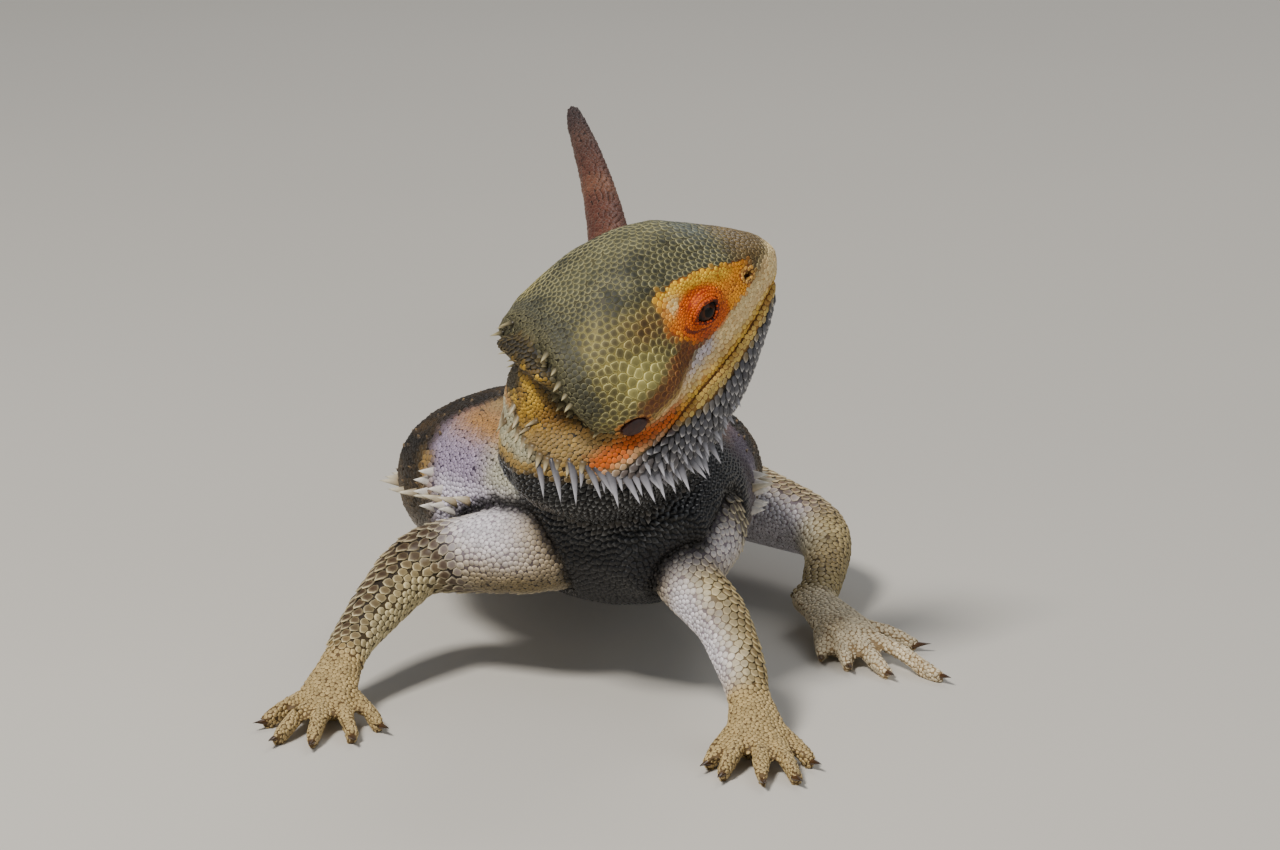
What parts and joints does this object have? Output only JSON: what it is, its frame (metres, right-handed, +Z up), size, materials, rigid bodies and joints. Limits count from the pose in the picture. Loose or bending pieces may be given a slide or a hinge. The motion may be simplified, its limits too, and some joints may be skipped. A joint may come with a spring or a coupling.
{
  "type": "bearded dragon model",
  "caption": "Life-size still model of an adult eastern bearded dragon standing on four feet, head raised and turned left, beard half spread, tail lifted behind.",
  "frame": {"origin": "middle of the bounding box at floor level, under the soles", "axes": "-Y towards the animal's chest and hands, +Y along the tail, +X to its left, +Z up"},
  "size_m": [0.1452, 0.4542, 0.1016],
  "materials": {
    "crown": "satin",
    "jaw": "satin",
    "beard": "satin",
    "neck": "matte",
    "back": "matte",
    "limb": "matte",
    "tail": "matte",
    "eye": "gloss",
    "ear": "satin"
  },
  "bodies": {
    "root": {"head": "crown", "lower_jaw": "jaw", "beard": "beard", "neck": "neck", "trunk_front": "back", "trunk_rear": "back", "hips": "back", "upper_arm_right": "limb", "forearm_right": "limb", "hand_right": "limb", "upper_arm_left": "limb", "forearm_left": "limb", "hand_left": "limb", "thigh_left": "limb", "shank_left": "limb", "foot_left": "limb", "thigh_right": "limb", "shank_right": "limb", "foot_right": "limb", "tail_base": "tail", "tail_middle": "tail", "tail_tip": "tail", "eye_left": "eye", "eye_right": "eye", "ear_left": "ear", "ear_right": "ear"}
  },
  "joints": []
}
